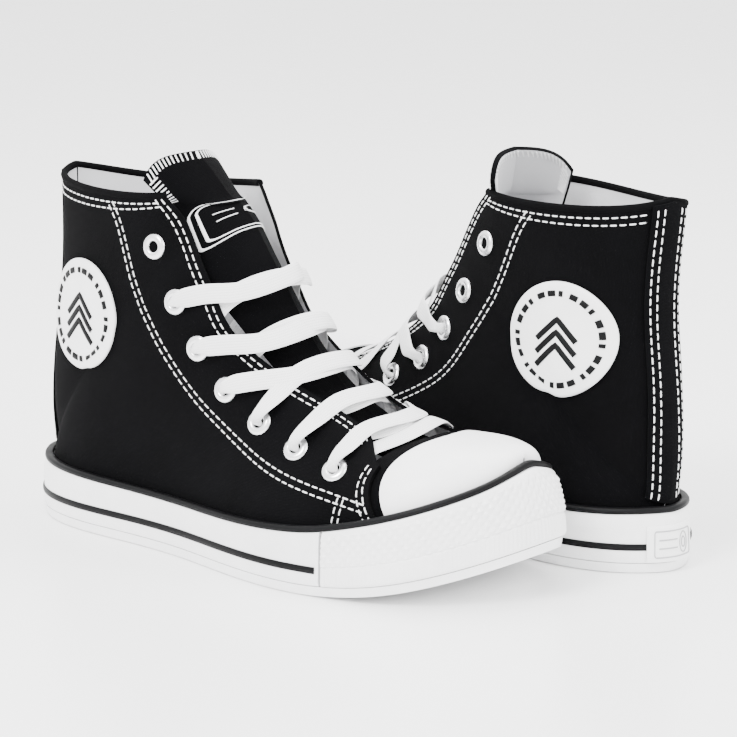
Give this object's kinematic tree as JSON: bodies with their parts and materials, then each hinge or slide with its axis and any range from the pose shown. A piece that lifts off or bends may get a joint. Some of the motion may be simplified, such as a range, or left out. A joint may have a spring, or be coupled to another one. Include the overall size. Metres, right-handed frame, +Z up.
{
  "type": "pair of canvas high-top shoes",
  "caption": "Pair of black canvas lace-up high-top shoes with white rubber soles and toe caps, laced with white flat laces, standing side by side at an angle.",
  "frame": {"origin": "centre of the pair on the floor", "axes": "+Z up from the floor; -Y towards the viewer; +X to the right, from the left shoe to the right shoe"},
  "size_m": [0.2888, 0.2897, 0.1711],
  "materials": {
    "white_rubber": "smooth satin",
    "black_rubber": "satin",
    "black_canvas": "matt woven canvas",
    "light_lining": "matt woven lining",
    "nickel": "bright plated",
    "white_cotton": "matt woven tape"
  },
  "bodies": {
    "left_shoe": {"left_outsole": "white_rubber", "left_foxing_strip": "white_rubber", "left_toe_bumper": "white_rubber", "left_upper_pinstripe": "black_rubber", "left_lower_pinstripe": "black_rubber", "left_heel_label": "white_rubber", "left_midsole": "white_rubber", "left_insole": "light_lining", "left_toe_cap": "white_rubber", "left_vamp": "black_canvas", "left_quarter_medial": "black_canvas", "left_quarter_lateral": "black_canvas", "left_heel_stay": "black_canvas", "left_ankle_patch": "white_rubber", "left_lace": "white_cotton", "left_eyelet_medial_1": "nickel", "left_eyelet_medial_2": "nickel", "left_eyelet_medial_3": "nickel", "left_eyelet_medial_4": "nickel", "left_eyelet_medial_5": "nickel", "left_eyelet_medial_6": "nickel", "left_eyelet_medial_7": "nickel", "left_eyelet_lateral_1": "nickel", "left_eyelet_lateral_2": "nickel", "left_eyelet_lateral_3": "nickel", "left_eyelet_lateral_4": "nickel", "left_eyelet_lateral_5": "nickel", "left_eyelet_lateral_6": "nickel", "left_eyelet_lateral_7": "nickel"},
    "left_tongue_body": {"left_tongue": "black_canvas"},
    "right_shoe": {"right_outsole": "white_rubber", "right_foxing_strip": "white_rubber", "right_toe_bumper": "white_rubber", "right_upper_pinstripe": "black_rubber", "right_lower_pinstripe": "black_rubber", "right_heel_label": "white_rubber", "right_midsole": "white_rubber", "right_insole": "light_lining", "right_toe_cap": "white_rubber", "right_vamp": "black_canvas", "right_quarter_medial": "black_canvas", "right_quarter_lateral": "black_canvas", "right_heel_stay": "black_canvas", "right_ankle_patch": "white_rubber", "right_lace": "white_cotton", "right_eyelet_medial_1": "nickel", "right_eyelet_medial_2": "nickel", "right_eyelet_medial_3": "nickel", "right_eyelet_medial_4": "nickel", "right_eyelet_medial_5": "nickel", "right_eyelet_medial_6": "nickel", "right_eyelet_medial_7": "nickel", "right_eyelet_lateral_1": "nickel", "right_eyelet_lateral_2": "nickel", "right_eyelet_lateral_3": "nickel", "right_eyelet_lateral_4": "nickel", "right_eyelet_lateral_5": "nickel", "right_eyelet_lateral_6": "nickel", "right_eyelet_lateral_7": "nickel"},
    "right_tongue_body": {"right_tongue": "black_canvas"}
  },
  "joints": [
    {"name": "left_tongue_hinge", "type": "hinge", "parent": "left_shoe", "child": "left_tongue_body", "pos_m": [0.02717, -0.09008, 0.055], "axis": [0.6101, 0.7923, 0], "range_deg": [-4, 0], "stiffness_Nm_per_rad": 1, "springref_deg": 2.01},
    {"name": "right_shoe_lift", "type": "slide", "parent": "left_shoe", "child": "right_shoe", "axis": [0, 0, 1], "range_m": [0, 0.15]},
    {"name": "right_tongue_hinge", "type": "hinge", "parent": "right_shoe", "child": "right_tongue_body", "pos_m": [0.00989, 0.08465, 0.055], "axis": [-0.8151, -0.5793, 0], "range_deg": [-4, 0], "stiffness_Nm_per_rad": 1, "springref_deg": 2.01}
  ]
}
